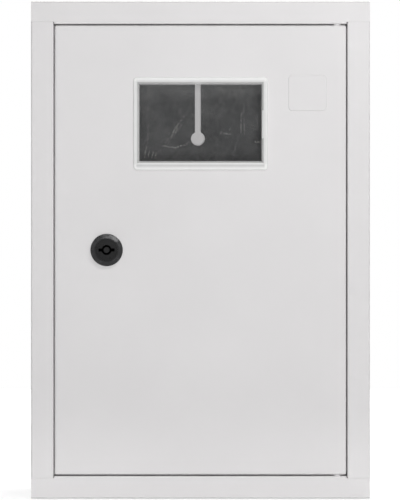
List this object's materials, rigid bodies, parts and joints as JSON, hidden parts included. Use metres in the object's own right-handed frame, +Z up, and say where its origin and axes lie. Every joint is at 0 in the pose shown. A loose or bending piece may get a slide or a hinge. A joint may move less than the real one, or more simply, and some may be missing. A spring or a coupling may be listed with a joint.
{
  "type": "electric meter box",
  "caption": "Wall-hung sheet-steel electric meter box with a flush hinged door, a clear reading window, a key lock, a meter board, a breaker rail and terminal bars inside.",
  "frame": {"origin": "on the back face, midway between the four wall holes, which is also the middle of the back", "axes": "+X to the right seen from the front, +Y into the wall, +Z up"},
  "size_m": [0.3, 0.1546, 0.44],
  "materials": {
    "cabinet_paint": "light grey powder coat, satin, fine orange peel",
    "zinc_steel": "bright zinc plate",
    "board_black": "dark grey insulating board with rub marks",
    "spacer_black": "moulded nylon",
    "clear_window": "clear moulded plastic",
    "lock_black": "black moulded plastic, satin",
    "brass": "drawn brass",
    "blue_insulator": "moulded plastic",
    "green_insulator": "moulded plastic"
  },
  "bodies": {
    "cabinet": {"back_wrap": "cabinet_paint", "left_side_panel": "cabinet_paint", "right_side_panel": "cabinet_paint", "upper_hinge_pin": "zinc_steel", "lower_hinge_pin": "zinc_steel", "hinge_washers": "zinc_steel", "board_studs": "zinc_steel", "board_washers": "zinc_steel", "board_nuts": "zinc_steel", "din_rail": "zinc_steel", "rail_brackets": "zinc_steel", "rail_screws": "zinc_steel", "earth_stud": "zinc_steel", "earth_washer": "zinc_steel", "earth_nut": "zinc_steel", "neutral_screws": "zinc_steel", "earth_screws": "zinc_steel", "meter_board": "board_black", "board_spacers": "spacer_black", "neutral_bar": "brass", "earth_bar": "brass", "neutral_feet": "blue_insulator", "earth_feet": "green_insulator"},
    "door": {"door_panel": "cabinet_paint", "window_pane": "clear_window", "lock_housing": "lock_black", "lock_nut": "zinc_steel", "door_earth_stud": "zinc_steel", "door_earth_washer": "zinc_steel", "door_earth_nut": "zinc_steel"},
    "lock": {"lock_rotor": "lock_black", "lock_cam": "zinc_steel", "cam_washer": "zinc_steel", "cam_screw": "zinc_steel"}
  },
  "joints": [
    {"name": "door_swing", "type": "hinge", "parent": "cabinet", "child": "door", "pos_m": [0.1211, -0.1454, 0], "axis": [0, 0, 1], "range_deg": [0, 120]},
    {"name": "lock_turn", "type": "hinge", "parent": "door", "child": "lock", "pos_m": [-0.083, -0.15, 0], "axis": [0, 1, 0], "range_deg": [0, 90]}
  ]
}
